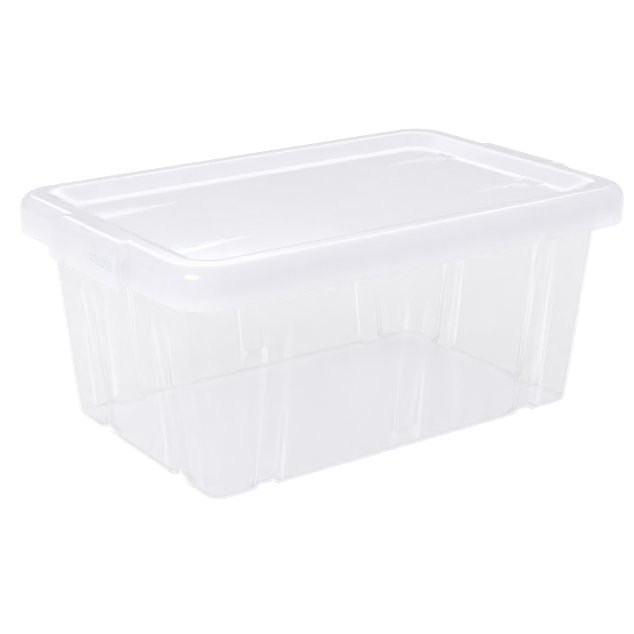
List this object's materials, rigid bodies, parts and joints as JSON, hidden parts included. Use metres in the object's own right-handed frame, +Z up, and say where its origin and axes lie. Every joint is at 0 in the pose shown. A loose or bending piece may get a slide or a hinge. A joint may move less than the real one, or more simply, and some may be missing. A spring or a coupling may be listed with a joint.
{
  "type": "stackable storage bin with lid",
  "caption": "Translucent rectangular plastic storage bin with tapered fluted walls and a lift-off lid that has end grips and a stacking recess.",
  "frame": {"origin": "centre of the base, on the surface that the bin stands on", "axes": "+Z up, +X along the long side, +Y along the short side; the name plate is on the grip at the -X end"},
  "size_m": [0.391, 0.2524, 0.169],
  "materials": {
    "clear_plastic": "translucent moulded polypropylene, natural, smooth satin gloss",
    "milky_plastic": "milky translucent moulded polypropylene, smooth satin gloss"
  },
  "bodies": {
    "bin": {"bin_body": "clear_plastic"},
    "lid": {"lid": "milky_plastic"}
  },
  "joints": [
    {"name": "lid_lift", "type": "slide", "parent": "bin", "child": "lid", "axis": [0, 0, 1], "range_m": [0, 0.25]}
  ]
}
